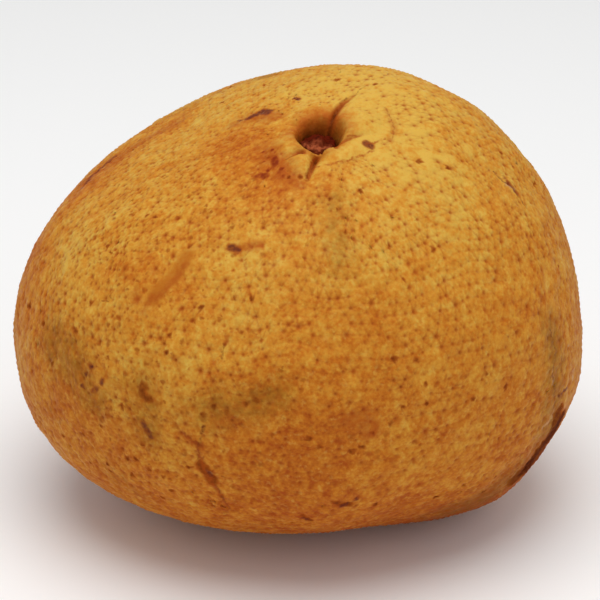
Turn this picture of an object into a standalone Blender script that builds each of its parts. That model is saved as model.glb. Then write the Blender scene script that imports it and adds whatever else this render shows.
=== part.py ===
"""A Jamaican tangelo: one whole, lop-sided citrus fruit with a pitted rind, and its stem's dry button.

The fruit rests on a small flat spot at z = 0, with its stem end up and leaning towards the viewer at -Y.
"""

import math

import bmesh
import bpy
import numpy as np
from mathutils import Vector

MM = 0.001

# The fruit's body about its core: half width along X, half depth along Y, and its reach up and down.
HALF_WIDTH = 57.0 * MM
HALF_DEPTH = 53.6 * MM
CROWN_HEIGHT = 46.2 * MM
BASE_DEPTH = 41.6 * MM
# How full the curve is from the widest level to the crown and to the base: 2 is an ellipse, more is boxier.
CROWN_FULLNESS = 1.93
BASE_FULLNESS = 2.25
# The body's own axis leans towards the viewer by this many degrees.
LEAN = 3.2
# Broad swells and hollows of the body: azimuth (0 right, 90 back), elevation, reach in degrees, height.
SWELLS = {
    "right shoulder": (-5, 56.5, 30, 3.0 * MM),
    "right flank": (-5, 17.5, 24, -0.5 * MM),
    "left shoulder hollow": (182, 50.5, 44, -9.3 * MM),
    "lower left cheek": (190, -43, 32.5, 5.4 * MM),
    "lower right cheek": (-8, -40.5, 29, 9.0 * MM),
    "lower right heel": (-24, -43, 11, 0.9 * MM),
    "front right heel": (-42, -47, 10.5, 1.1 * MM),
    "lower left heel": (-124, -42, 11.5, 0.8 * MM),
    "left cheek": (-163, -22, 13, 0.5 * MM),
    "right shoulder dent": (9, 37.5, 12, -0.4 * MM),
    "lower right hollow": (-15, -30, 9, -0.7 * MM),
    "foot": (0, -90, 25.5, 3.6 * MM),
    "front belly": (-85, -32, 24, 2.0 * MM),
    "back cheek": (92, 20, 30, 2.2 * MM),
    "back shoulder hollow": (50, 44, 20, -1.0 * MM),
    "lower back cheek": (100, -40, 34, 4.6 * MM),
}
# The core's place over the resting surface, which centres the fruit on the origin.
CORE = (-1.1 * MM, -1.1 * MM, 46.2 * MM)

# Uneven growth: gentle waves over the whole skin.
WAVE_COUNT = 28
WAVE_LENGTHS = (14 * MM, 32 * MM)
WAVE_HEIGHT = 0.05 * MM
WAVE_SEED = 5

# The stem's basin, in the direction of STEM from the core. Its floor is a plane across the stem's own axis.
STEM_AZIMUTH, STEM_ELEVATION = -75, 62.4
AXIS_AZIMUTH, AXIS_ELEVATION = -90, 83
BASIN_DEPTH = 3.3 * MM
FLOOR_RADIUS = 3.4 * MM
RIM_RADIUS = 5.0 * MM
# The rim lies further out on one side of the stem: by how much, and towards which side, 0 right and 90 back.
RIM_DRIFT, RIM_DRIFT_SIDE = 1.1 * MM, 115
# Puffy lips round the basin: their middles in millimetres right of the stem and to the back, reach, height.
LIPS = {
    "right lip": ((6.2, 3.0), 4.4 * MM, 1.4 * MM),
    "front right lip": ((4.2, -5.8), 2.6 * MM, 0.5 * MM),
    "front left lip": ((-3.4, -6.8), 2.0 * MM, 0.8 * MM),
    "left lip": ((-5.9, -1.8), 2.6 * MM, 0.9 * MM),
    "back lip": ((-1.6, 9.0), 3.6 * MM, 0.9 * MM),
}
# Creases that run out of the basin or round its lips: the start, bend and end of a curved line, in the same
# millimetres, then depth and half width.
CREASES = {
    "long crease to the back": ((1.9, 2.7), (3.0, 10.2), (8.3, 14.4), 2.2 * MM, 0.65 * MM),
    "fork of the long crease": ((4.4, 9.8), (3.9, 11.3), (3.4, 12.6), 0.7 * MM, 0.6 * MM),
    "front crease": ((-0.7, -4.8), (-1.6, -8.0), (-2.8, -12.2), 2.0 * MM, 0.6 * MM),
    "left front crease": ((-3.2, -4.0), (-5.2, -4.2), (-7.4, -6.2), 1.5 * MM, 0.6 * MM),
    "right crease": ((2.6, -3.2), (3.8, -0.9), (11.5, 0.6), 1.2 * MM, 0.6 * MM),
    "outer crease of the front lip": ((4.0, -7.3), (8.2, -5.6), (11.4, -1.0), 0.6 * MM, 0.8 * MM),
    "arc round the right lip": ((9.7, 7.6), (13.2, 3.0), (11.3, -1.6), 0.5 * MM, 0.9 * MM),
    "left back crease": ((-3.3, 2.1), (-4.6, 4.2), (-6.6, 6.4), 1.0 * MM, 0.7 * MM),
    "back wall wrinkle": ((-1.3, 2.6), (-1.2, 4.6), (-1.3, 7.6), 0.9 * MM, 0.6 * MM),
}
CREASE_SAMPLES = 24
CREASE_SNAP = 0.9 * MM
SNAP_LEFTOVER = 0.15

# Pores: one vertex in the middle of each, with raised skin around it. Some stay shut.
PORE_DEPTHS = (0.5 * MM, 0.95 * MM)
PORE_RIM = 0.1 * MM
OPEN_PORES = 0.6
PORE_SHIFT = 0.18
PORE_SEED = 11
BARE_LIP = (8 * MM, 15 * MM)
BARE_FOOT = (0.5 * MM, 3.5 * MM)
ICOSPHERE_LEVEL = 4
# Near the stem the vertices lie closer together: by this share in its middle, fading over this angle, in
# radians.
DENSER_AT_STEM, DENSER_REACH = 0.6, 0.55

# The stem's button: a dry calyx of five blunt lobes with the broken stem in its middle, in a round seat.
BUTTON_RADIUS = 3.4 * MM
BUTTON_THICKNESS = 2.4 * MM
BUTTON_LOBES = 5
LOBE_DEPTH = 0.35 * MM
BUTTON_DISH = 0.5 * MM
STUB_RADIUS = 1.5 * MM
STUB_HEIGHT = 0.7 * MM
# Powers that fill out the button's round: under 1 makes its edge blunter than a ball's.
BUTTON_EDGE, BUTTON_FACE = 0.7, 0.55
BUTTON_SIDES, BUTTON_RINGS = 30, 14
SEAT_GAP = 0.3 * MM
SEAT_DEPTH = 1.1 * MM
SEAT_SIDES = 36
CUTTER_LENGTH = 12 * MM

RIND_COLOUR, RIND_ROUGHNESS = (0.66, 0.33, 0.035, 1), 0.5
BUTTON_COLOUR, BUTTON_ROUGHNESS = (0.13, 0.045, 0.022, 1), 0.8


def aim(azimuth, elevation):
    """Unit vector at an azimuth and an elevation in degrees."""
    a, e = math.radians(azimuth), math.radians(elevation)
    return np.array([math.cos(a) * math.cos(e), math.sin(a) * math.cos(e), math.sin(e)])


def unit(vectors):
    return vectors / np.linalg.norm(vectors, axis=-1, keepdims=True)


def angles_from(directions, axis):
    return np.arccos(np.clip(directions @ axis, -1, 1))


def smooth_step(value, low, high):
    t = np.clip((value - low) / (high - low), 0, 1)
    return t * t * (3 - 2 * t)


STEM = aim(STEM_AZIMUTH, STEM_ELEVATION)
STEM_RIGHT = unit(np.array([1.0, 0, 0]) - STEM[0] * STEM)
STEM_BACK = np.cross(STEM, STEM_RIGHT)
STEM_AXIS = aim(AXIS_AZIMUTH, AXIS_ELEVATION)


def body_radius(directions):
    """Distance from the core to the smooth body: a superellipse from crown to base, plus the swells."""
    lean = math.radians(LEAN)
    along = directions[:, 2] * math.cos(lean) - directions[:, 1] * math.sin(lean)
    across = directions[:, 1] * math.cos(lean) + directions[:, 2] * math.sin(lean)
    upper = along > 0
    reach = np.where(upper, CROWN_HEIGHT, BASE_DEPTH)
    fullness = np.where(upper, CROWN_FULLNESS, BASE_FULLNESS)
    level = np.hypot(directions[:, 0] / HALF_WIDTH, across / HALF_DEPTH)
    radius = (level**fullness + np.abs(along / reach) ** fullness) ** (-1 / fullness)
    for azimuth, elevation, spread, height in SWELLS.values():
        off = np.degrees(angles_from(directions, aim(azimuth, elevation)))
        radius += height * np.exp(-((off / spread) ** 2))
    return radius


STEM_RADIUS = float(body_radius(STEM[None, :])[0])
FLOOR_CENTRE = STEM * (STEM_RADIUS - BASIN_DEPTH)


def waves(directions):
    """Gentle unevenness: the sum of seeded sine waves that cross the body in all directions."""
    rng = np.random.default_rng(WAVE_SEED)
    lengths = rng.uniform(*WAVE_LENGTHS, WAVE_COUNT)
    headings = unit(rng.normal(size=(WAVE_COUNT, 3)))
    phases = rng.uniform(0, 2 * math.pi, WAVE_COUNT)
    turns = directions @ headings.T * HALF_DEPTH / lengths
    return WAVE_HEIGHT * np.sin(2 * math.pi * turns + phases).sum(axis=1)


def around_stem(directions):
    """Places round the stem, laid flat: metres to the right and towards the back."""
    off = angles_from(directions, STEM)
    right, back = directions @ STEM_RIGHT, directions @ STEM_BACK
    scale = off * STEM_RADIUS / np.maximum(np.hypot(right, back), 1e-9)
    return np.stack([right * scale, back * scale], axis=1)


def from_around_stem(places):
    """The directions of places that around_stem gives."""
    reach = np.linalg.norm(places, axis=1, keepdims=True)
    off = reach / STEM_RADIUS
    heading = (places[:, :1] * STEM_RIGHT + places[:, 1:] * STEM_BACK) / np.maximum(reach, 1e-9)
    return np.cos(off) * STEM + np.sin(off) * heading


def crease_line(start, bend, end):
    """Places along a crease, a quadratic curve from start to end drawn towards bend, and how far along."""
    t = np.linspace(0, 1, CREASE_SAMPLES)[:, None]
    corners = np.array([start, bend, end]) * MM
    return (1 - t) ** 2 * corners[0] + 2 * t * (1 - t) * corners[1] + t**2 * corners[2], t[:, 0]


def nearest_on(line, places):
    """Which of the line's samples is nearest to each place, and how far off it is."""
    gaps = np.linalg.norm(places[:, None, :] - line[None, :, :], axis=2)
    nearest = gaps.argmin(axis=1)
    return nearest, gaps[np.arange(len(places)), nearest]


def creases(places):
    """Depth of the creases: a sharp valley with rounded lips along each line, fading out at its far end."""
    depth = np.zeros(len(places))
    for start, bend, end, full_depth, half_width in CREASES.values():
        line, along = crease_line(start, bend, end)
        nearest, gap = nearest_on(line, places)
        depth = np.maximum(depth, full_depth * (1 - along[nearest] ** 2) * np.exp(-gap / half_width))
    return depth


def lips(places):
    """Height of the puffy lips, a round swell for each."""
    height = np.zeros(len(places))
    for middle, reach, full_height in LIPS.values():
        off = np.linalg.norm(places - np.array(middle) * MM, axis=1)
        height += full_height * np.exp(-((off / reach) ** 2))
    return height


def drawn_to_floor(directions, places, radius):
    """The skin drawn down, inside the rim, to the basin's floor, a plane across the stem's axis."""
    off = np.linalg.norm(places, axis=1)
    side = np.arctan2(places[:, 1], places[:, 0]) - math.radians(RIM_DRIFT_SIDE)
    rim = RIM_RADIUS + RIM_DRIFT * np.cos(side)
    floor = (FLOOR_CENTRE @ STEM_AXIS) / np.maximum(directions @ STEM_AXIS, 0.1)
    inside = 1 - smooth_step(off, FLOOR_RADIUS, rim)
    return radius + (floor - radius) * inside


def surface_radius(directions):
    """Distance from the core to the skin, without its pores."""
    places = around_stem(directions)
    radius = body_radius(directions) + waves(directions) + lips(places) - creases(places)
    return drawn_to_floor(directions, places, radius)


def turn_in_thirds(mesh):
    """One round of finer faces: a vertex in each face, and each old edge turned to join two of those."""
    edges = list(mesh.edges)
    bmesh.ops.poke(mesh, faces=mesh.faces)
    bmesh.ops.rotate_edges(mesh, edges=edges)


def pored_sphere():
    """Unit sphere whose first vertices are the pores, each ringed by six or so of the others."""
    mesh = bmesh.new()
    bmesh.ops.create_icosphere(mesh, subdivisions=ICOSPHERE_LEVEL, radius=1)
    turn_in_thirds(mesh)
    pore_count = len(mesh.verts)
    spacing = math.sqrt(4 * math.pi / pore_count)
    shifts = np.random.default_rng(PORE_SEED).uniform(-1, 1, (pore_count, 3)) * spacing * PORE_SHIFT
    for vertex, shift in zip(mesh.verts, shifts):
        vertex.co = (vertex.co + Vector(shift)).normalized()
    turn_in_thirds(mesh)
    return mesh, pore_count


def draw_to_stem(directions):
    """Directions moved towards the stem, so that its basin gets more of the vertices."""
    off = angles_from(directions, STEM)[:, None]
    heading = unit(directions - np.cos(off) * STEM)
    closer = off * (1 - DENSER_AT_STEM * np.exp(-((off / DENSER_REACH) ** 2)))
    return np.cos(closer) * STEM + np.sin(closer) * heading


def snap_to_creases(directions):
    """Directions close to a crease moved on to its line, so that the valley stays sharp."""
    before = around_stem(directions)
    places = before.copy()
    for start, bend, end, _, _ in CREASES.values():
        line, _ = crease_line(start, bend, end)
        nearest, gap = nearest_on(line, places)
        close = gap < CREASE_SNAP
        on_line = line[nearest[close]]
        places[close] = on_line + (places[close] - on_line) * SNAP_LEFTOVER
    moved = (places != before).any(axis=1)
    directions[moved] = from_around_stem(places[moved])
    return directions


def pore_relief(directions, heights, pore_count):
    """Height of the pored skin over the plain one: low at the open pores, a little raised around them."""
    rng = np.random.default_rng(PORE_SEED)
    relief = np.full(len(directions), PORE_RIM)
    is_open = rng.random(pore_count) < OPEN_PORES
    relief[:pore_count] = np.where(is_open, -rng.uniform(*PORE_DEPTHS, pore_count), PORE_RIM)
    off = np.linalg.norm(around_stem(directions), axis=1)
    return relief * smooth_step(off, *BARE_LIP) * smooth_step(heights, *BARE_FOOT)


def make_material(name, colour, roughness):
    material = bpy.data.materials.new(name)
    material.use_nodes = True
    shader = material.node_tree.nodes["Principled BSDF"]
    shader.inputs["Base Color"].default_value = colour
    shader.inputs["Roughness"].default_value = roughness
    return material


def add_object(name, mesh, collection):
    """A bmesh made a smooth-shaded object of its own."""
    data = bpy.data.meshes.new(name)
    mesh.to_mesh(data)
    mesh.free()
    data.shade_smooth()
    obj = bpy.data.objects.new(name, data)
    collection.objects.link(obj)
    return obj


def set_on_stem(obj, rise):
    """Put an object on the stem's axis, this far over the basin's floor, with its own Z along the axis."""
    obj.location = Vector(CORE) + Vector(FLOOR_CENTRE) + Vector(STEM_AXIS) * rise
    obj.rotation_mode = "QUATERNION"
    obj.rotation_quaternion = Vector(STEM_AXIS).to_track_quat("Z", "Y")


def move_vertices(mesh, points):
    for vertex, point in zip(mesh.verts, points):
        vertex.co = point


def make_fruit(collection, cutters):
    """The whole fruit with its basin, creases and pores, cut for the button's seat and flat at its foot."""
    mesh, pore_count = pored_sphere()
    directions = np.array([vertex.co for vertex in mesh.verts])
    directions = snap_to_creases(draw_to_stem(unit(directions)))
    radius = surface_radius(directions)
    heights = directions[:, 2] * radius + CORE[2]
    radius += pore_relief(directions, heights, pore_count)
    points = directions * radius[:, None] + CORE
    points[:, 2] = np.maximum(points[:, 2], 0)
    move_vertices(mesh, points)
    fruit = add_object("fruit", mesh, collection)
    fruit.data.materials.append(make_material("rind", RIND_COLOUR, RIND_ROUGHNESS))
    cut = fruit.modifiers.new("stem_seat", "BOOLEAN")
    cut.operation = "DIFFERENCE"
    cut.object = make_seat_cutter(cutters)


def make_seat_cutter(cutters):
    """The round hole that the button sits in."""
    mesh = bmesh.new()
    radius = BUTTON_RADIUS + SEAT_GAP
    bmesh.ops.create_cone(
        mesh, cap_ends=True, segments=SEAT_SIDES, radius1=radius, radius2=radius, depth=CUTTER_LENGTH
    )
    cutter = add_object("stem_seat_cutter", mesh, cutters)
    set_on_stem(cutter, CUTTER_LENGTH / 2 - SEAT_DEPTH)
    cutter.hide_render = True
    cutter.display_type = "WIRE"
    return cutter


def make_button(collection):
    """The stem's button: a rounded disc with five lobes, a dished top and the stub of the stem."""
    mesh = bmesh.new()
    bmesh.ops.create_uvsphere(mesh, u_segments=BUTTON_SIDES, v_segments=BUTTON_RINGS, radius=1)
    ball = np.array([vertex.co for vertex in mesh.verts])
    turn = np.arctan2(ball[:, 1], ball[:, 0])
    edge = BUTTON_RADIUS - LOBE_DEPTH * (0.5 + 0.5 * np.cos(BUTTON_LOBES * turn))
    radius = edge * np.hypot(ball[:, 0], ball[:, 1]) ** BUTTON_EDGE
    height = BUTTON_THICKNESS / 2 * np.sign(ball[:, 2]) * np.abs(ball[:, 2]) ** BUTTON_FACE
    stub = (STUB_HEIGHT + BUTTON_DISH) * np.exp(-((radius / STUB_RADIUS) ** 4))
    dish = BUTTON_DISH * (1 - smooth_step(radius, STUB_RADIUS, BUTTON_RADIUS))
    height += np.where(ball[:, 2] > 0, stub - dish, 0)
    move_vertices(mesh, np.stack([radius * np.cos(turn), radius * np.sin(turn), height], axis=1))
    button = add_object("stem_button", mesh, collection)
    button.data.materials.append(make_material("dry_stem", BUTTON_COLOUR, BUTTON_ROUGHNESS))
    set_on_stem(button, SEAT_GAP + BUTTON_THICKNESS / 2 - SEAT_DEPTH)


def clear_scene():
    for obj in list(bpy.data.objects):
        bpy.data.objects.remove(obj)


def main():
    clear_scene()
    parts = bpy.data.collections.new("jamaican_tangelo")
    cutters = bpy.data.collections.new("cutters")
    for collection in (parts, cutters):
        bpy.context.scene.collection.children.link(collection)
    make_fruit(parts, cutters)
    make_button(parts)


main()
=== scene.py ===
"""Looks of a Jamaican tangelo: pored and scarred rind, a dry button in its basin, and a plain studio."""

import math

import bmesh
import bpy
import numpy as np
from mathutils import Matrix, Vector


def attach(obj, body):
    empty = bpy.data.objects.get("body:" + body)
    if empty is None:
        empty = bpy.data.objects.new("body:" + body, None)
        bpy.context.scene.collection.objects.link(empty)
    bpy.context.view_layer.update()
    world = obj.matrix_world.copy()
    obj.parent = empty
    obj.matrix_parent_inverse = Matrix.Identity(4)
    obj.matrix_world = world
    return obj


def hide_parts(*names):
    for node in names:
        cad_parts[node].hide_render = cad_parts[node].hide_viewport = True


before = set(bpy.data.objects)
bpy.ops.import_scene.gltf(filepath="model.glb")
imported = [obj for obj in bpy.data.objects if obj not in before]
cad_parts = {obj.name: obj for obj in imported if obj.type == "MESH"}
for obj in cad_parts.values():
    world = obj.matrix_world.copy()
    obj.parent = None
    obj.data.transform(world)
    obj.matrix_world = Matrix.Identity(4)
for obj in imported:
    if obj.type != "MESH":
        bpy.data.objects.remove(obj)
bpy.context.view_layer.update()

bl_info = {
    "name": "Jamaican Tangelo",
    "version": (1, 0, 0),
    "blender": (4, 5, 0),
    "location": "3D View > Sidebar > Tangelo",
    "description": "Builds a lop-sided citrus fruit with a pored rind, its stem button and a plain studio",
    "category": "Object",
}

MM = 0.001

# Broad swells and hollows of the body: azimuth (0 right, 90 back), elevation, reach in degrees, height.
SWELLS = {
    "right shoulder": (-5, 56.5, 30, 3.0 * MM),
    "right flank": (-5, 17.5, 24, -0.5 * MM),
    "left shoulder hollow": (182, 50.5, 44, -9.3 * MM),
    "lower left cheek": (190, -43, 32.5, 5.4 * MM),
    "lower right cheek": (-8, -40.5, 29, 9.0 * MM),
    "lower right heel": (-24, -43, 11, 0.9 * MM),
    "front right heel": (-42, -47, 10.5, 1.1 * MM),
    "lower left heel": (-124, -42, 11.5, 0.8 * MM),
    "left cheek": (-163, -22, 13, 0.5 * MM),
    "right shoulder dent": (9, 37.5, 12, -0.4 * MM),
    "lower right hollow": (-15, -30, 9, -0.7 * MM),
    "foot": (0, -90, 25.5, 3.6 * MM),
    "front belly": (-85, -32, 24, 2.0 * MM),
    "back cheek": (92, 20, 30, 2.2 * MM),
    "back shoulder hollow": (50, 44, 20, -1.0 * MM),
    "lower back cheek": (100, -40, 34, 4.6 * MM),
}
# The place inside the fruit that every direction is seen from.
CORE = np.array([-1.1, -1.1, 46.2]) * MM

# Waves that unsettle the skin: how many, their lengths, the height of each and the seed.
SLOW_WAVES = (28, (14 * MM, 32 * MM), 0.05 * MM, 5)
QUICK_WAVES = (60, (3.5 * MM, 8 * MM), 0.012 * MM, 8)

# The stem's direction from the core, the tilt of the basin and its button, and how far and to which side the
# basin's rim drifts out. Angles are in degrees.
STEM_AZIMUTH, STEM_ELEVATION = -75, 62.4
AXIS_AZIMUTH, AXIS_ELEVATION = -90, 83
RIM_DRIFT, RIM_DRIFT_SIDE = 1.1 * MM, 115
# Puffy lips round the basin: their middles in millimetres right of the stem and to the back, reach, height.
LIPS = {
    "right lip": ((6.2, 3.0), 4.4 * MM, 1.4 * MM),
    "front right lip": ((4.2, -5.8), 2.6 * MM, 0.5 * MM),
    "front left lip": ((-3.4, -6.8), 2.0 * MM, 0.8 * MM),
    "left lip": ((-5.9, -1.8), 2.6 * MM, 0.9 * MM),
    "back lip": ((-1.6, 9.0), 3.6 * MM, 0.9 * MM),
    "notch in front of the button": ((-0.9, -4.9), 1.7 * MM, -1.5 * MM),
}
# Creases: the start, bend and end of a curved line in the same millimetres, then depth and half width.
CREASES = {
    "long crease to the back": ((1.9, 2.7), (3.0, 10.2), (8.3, 14.4), 2.2 * MM, 0.65 * MM),
    "fork of the long crease": ((4.4, 9.8), (3.9, 11.3), (3.4, 12.6), 0.7 * MM, 0.6 * MM),
    "front crease": ((-0.7, -4.8), (-1.6, -8.0), (-2.8, -12.2), 2.0 * MM, 0.6 * MM),
    "left front crease": ((-3.2, -4.0), (-5.2, -4.2), (-7.4, -6.2), 1.5 * MM, 0.6 * MM),
    "right crease": ((2.6, -3.2), (3.8, -0.9), (11.5, 0.6), 1.2 * MM, 0.6 * MM),
    "outer crease of the front lip": ((4.0, -7.3), (8.2, -5.6), (11.4, -1.0), 0.6 * MM, 0.8 * MM),
    "arc round the right lip": ((9.7, 7.6), (13.2, 3.0), (11.3, -1.6), 0.5 * MM, 0.9 * MM),
    "left back crease": ((-3.3, 2.1), (-4.6, 4.2), (-6.6, 6.4), 1.0 * MM, 0.7 * MM),
    "back wall wrinkle": ((-1.3, 2.6), (-1.2, 4.6), (-1.3, 7.6), 0.9 * MM, 0.6 * MM),
}
CREASE_SAMPLES = 60
# No crease is felt further from the stem than this, and one this deep has the full darkening of a fold,
# partly stain and partly painted shade.
CREASES_REACH, FULL_FOLD = 26 * MM, 2.0 * MM
WALL_WRINKLES, WRINKLE_HEIGHT = 17, 0.22 * MM
# How far outside the button its seat starts to rise, and where it meets the basin's floor.
SEAT_EDGE = np.array([0.2, 0.7]) * MM

# The button's grid, the waves that roughen it, and how many lobes, nicks and grooves it has and how deep.
# The depth of lobes and nicks, the stub's radius and the dish's start are shares of the button's radius.
BUTTON_RINGS, BUTTON_SIDES = 70, 180
BUTTON_WAVES = (26, (0.6 * MM, 1.9 * MM), 0.035 * MM, 4)
LOBES, LOBE_DEPTH = 5, 0.05
NICKS, NICK_DEPTH = 11, 0.02
GROOVES, GROOVE_DEPTH = 13, 0.10 * MM
STUB_RADIUS, STUB_HEIGHT = 0.45, 1.2 * MM
DISH_START, DISH_DEPTH = 0.4, 0.5 * MM
# Where the lighter broken fibres start and are full, in front of the button's middle, partly painted light on
# the button's lit near side.
LIT_FIBRE_EDGE = (0.3 * MM, 2.4 * MM)

# The mesh: a ball whose first vertices are the pores, twice made finer. A pore's own shift is a share of the
# spacing, and all are drawn to the stem by a share that falls off over a reach in radians.
BALL_LEVEL = 6
PORE_SHIFT, PORE_SEED = 0.19, 21
DENSER_AT_STEM, DENSER_REACH = 0.6, 0.55
# The drift that bends the rows of pores: the waves' first three values, and its seeds along X, Y and Z.
PORE_DRIFT, DRIFT_SEEDS = (12, (9 * MM, 20 * MM), 0.21 * MM), (31, 32, 33)
# Pores: the share that is open, their tones (the faintest, the usual range above it, the darkest and how rare
# that is), the share of the depth that one without a tone would have, and how their radius varies.
OPEN_PORES = 0.8
PORE_TONES = (0.24, 0.38, 1.0, 4.0)
PALE_DEPTH = 0.35
PORE_SIZES = (0.8, 1.15)
# A pore's shoulder as a share of its depth and of its tone, and its widest radius as a share of the spacing.
SHOULDER_SHARE, SHOULDER_TONE, WIDEST_SHARE = 0.36, 0.4, 0.33
# How high the skin between the pores is domed.
DOME_HEIGHT = 0.06 * MM
# Where pores start and are full, out from the stem and up from the floor, and where they end on the scar.
BARE_LIP = (5 * MM, 10 * MM)
BARE_FOOT = (0.3 * MM, 2.0 * MM)
BARE_SCAR = (0.2, 0.5)

# Orange of the skin at the crown, its gain down to the foot (deeper skin, and painted shade of the
# underside), how far it drifts and its gain in the basin.
ORANGE_CROWN, ORANGE_AND_SHADE_TO_FOOT, ORANGE_DRIFT, ORANGE_WALL = 0.07, 0.68, 0.22, 0.45
CROWN_LEVEL = 92 * MM
# Waves of a drifting field: how many, the range of their lengths as shares of its own, and their height.
DRIFT_WAVES, DRIFT_LENGTHS, DRIFT_HEIGHT = 12, (0.7, 1.5), 0.28
# The length over which the orange changes, and its seed.
ORANGE_WAVES = (60 * MM, 3)
# Other drifting fields: length and seed, where each starts and is full, its strength, and the share of it
# that is taken away where the photograph shows the skin.
DRIFTS = {
    "freckled": (55 * MM, 4, 0.35, 0.9, 1.0, 0.75),
    "olive": (40 * MM, 6, 0.6, 0.9, 0.25, 0.6),
}
# The basin's stained wall: the radius of its foot, of its top in front, and how much wider that is behind.
# Its back is turned to the left, in radians, and the power is how fast the back gives way to the sides.
WALL_FOOT, WALL_TOP, WALL_TOP_AT_BACK = 4.2 * MM, 6.2 * MM, 4.2 * MM
WALL_TURN, WALL_POWER = 0.3, 1.4
# The wall's stain: its strength, the share of it that the front has, and the streaks' middle and swing.
WALL_STAIN, WALL_STAIN_IN_FRONT = 1.25, 0.45
STREAK_MIDDLE, STREAK_SWING = 0.85, 0.32

# The photograph's frame, in pixels, and the camera that sees the fruit as it does.
PICTURE_SIDE = 600
VIEW_ELEVATION = 24
LENS, SENSOR = 135.0, 36.0
CAMERA_DISTANCE = 457.0 * MM
AIM_RIGHT, AIM_DOWN = 1.50 * MM, 2.30 * MM

# The studio, in metres: the floor's side, and each lamp's azimuth, elevation, distance and width.
FLOOR_SIDE = 8
LAMPS = {"key": (-100, 80, 0.9, 0.8), "fill": (-60, 35, 0.9, 0.7)}


def length(name, description, default):
    return bpy.props.FloatProperty(
        name=name, description=description, default=default, unit="LENGTH", precision=5
    )


def amount(name, description, default, low=0.0, high=1.0):
    return bpy.props.FloatProperty(name=name, description=description, default=default, min=low, max=high)


def colour(name, description, default):
    return bpy.props.FloatVectorProperty(
        name=name, description=description, default=default, size=3, subtype="COLOR", min=0, max=1
    )


class TangeloBody(bpy.types.PropertyGroup):
    """Sizes of the fruit."""

    half_width: length("Half width", "From the core to the side, before the swells", 57.0 * MM)
    half_depth: length("Half depth", "From the core to the front or back, before the swells", 53.6 * MM)
    crown_height: length("Crown height", "From the core to the crown", 46.2 * MM)
    base_depth: length("Base depth", "From the core to the base, before the foot's swell", 41.6 * MM)
    crown_fullness: amount("Crown fullness", "2 is an ellipse and more is boxier", 1.93, 1.2, 4)
    base_fullness: amount("Base fullness", "2 is an ellipse and more is boxier", 2.25, 1.2, 4)
    lean: amount("Lean", "How far the body leans to the front, in degrees", 3.2, -30, 30)
    basin_depth: length("Basin depth", "From the skin to the floor of the stem's basin", 3.3 * MM)
    floor_radius: length("Floor radius", "Radius of the basin's floor", 3.4 * MM)
    rim_radius: length("Rim radius", "Mean radius of the basin's rim", 5.0 * MM)
    pore_depth: length("Pore depth", "Depth of the deepest pores", 0.48 * MM)
    pore_radius: length("Pore radius", "Radius of a pore at its shoulder", 0.52 * MM)


class TangeloRind(bpy.types.PropertyGroup):
    """Colours of the rind."""

    straw: colour("Straw", "The lightest skin", (0.65, 0.385, 0.062))
    golden: colour("Golden", "Most of the skin", (0.61, 0.265, 0.029))
    orange: colour("Orange", "The deeper skin", (0.52, 0.160, 0.013))
    rust: colour("Rust", "The deepest skin, healed scars and stains", (0.37, 0.070, 0.007))
    speck: colour("Speck", "Freckles and the bottoms of the pores", (0.28, 0.052, 0.003))
    # Brown, red and hollow also darken the basin's floor and the creases, where they are partly stain and
    # dead skin and partly painted shade.
    brown: colour("Brown", "Old bruises and creases", (0.155, 0.028, 0.003))
    red: colour("Red", "Dark red spots and creases", (0.21, 0.021, 0.002))
    dark: colour("Dark", "Dead spots and cracks", (0.12, 0.024, 0.013))
    hollow: colour("Hollow", "Under the button and in the creases", (0.055, 0.006, 0.001))
    olive: colour("Olive", "Greenish smudges", (0.20, 0.088, 0.007))
    callus: colour("Callus", "Smooth healed skin", (0.43, 0.125, 0.010))
    # Painted glint: light grains between the pores in place of glints of light.
    painted_glint: colour("Fleck", "Light grains between the pores", (0.72, 0.45, 0.09))
    pale: colour("Pale", "Dry scab", (0.56, 0.33, 0.17))


class TangeloStem(bpy.types.PropertyGroup):
    """Sizes and colours of the dry button."""

    radius: length("Radius", "Radius of the button", 3.4 * MM)
    thickness: length("Thickness", "Thickness of the button", 2.4 * MM)
    seat_depth: length("Seat depth", "How deep the button's seat lies under the basin's floor", 1.1 * MM)
    seat_gap: length("Seat gap", "Gap between the button and its seat", 0.3 * MM)
    bark: colour("Bark", "The dry calyx", (0.115, 0.010, 0.002))
    # Lit fibre: lighter broken wood, partly painted light on the button's lit near side.
    fibre: colour("Fibre", "The broken, lighter wood", (0.36, 0.085, 0.030))


class TangeloStage(bpy.types.PropertyGroup):
    """The studio."""

    floor_colour: colour("Floor", "Colour of the floor", (0.94, 0.94, 0.935))
    key_power: amount("Key power", "Power of the key light in watts", 5.85, 0, 1000)
    fill_power: amount("Fill power", "Power of the fill light in watts", 0.5, 0, 1000)
    sky_strength: amount("Sky strength", "Strength of the even light from all round", 0.485, 0, 10)


def aim(azimuth, elevation):
    """Unit vector at an azimuth and an elevation in degrees."""
    a, e = math.radians(azimuth), math.radians(elevation)
    return np.array([math.cos(a) * math.cos(e), math.sin(a) * math.cos(e), math.sin(e)])


def unit(vectors):
    return vectors / np.linalg.norm(vectors, axis=-1, keepdims=True)


def angles_from(directions, axis):
    return np.arccos(np.clip(directions @ axis, -1, 1))


def smooth_step(value, low, high):
    t = np.clip((value - low) / (high - low), 0, 1)
    return t * t * (3 - 2 * t)


STEM = aim(STEM_AZIMUTH, STEM_ELEVATION)
STEM_RIGHT = unit(np.array([1.0, 0, 0]) - STEM[0] * STEM)
STEM_BACK = np.cross(STEM, STEM_RIGHT)
STEM_AXIS = aim(AXIS_AZIMUTH, AXIS_ELEVATION)
AXIS_RIGHT = np.array([1.0, 0, 0])
AXIS_BACK = np.cross(STEM_AXIS, AXIS_RIGHT)


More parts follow.
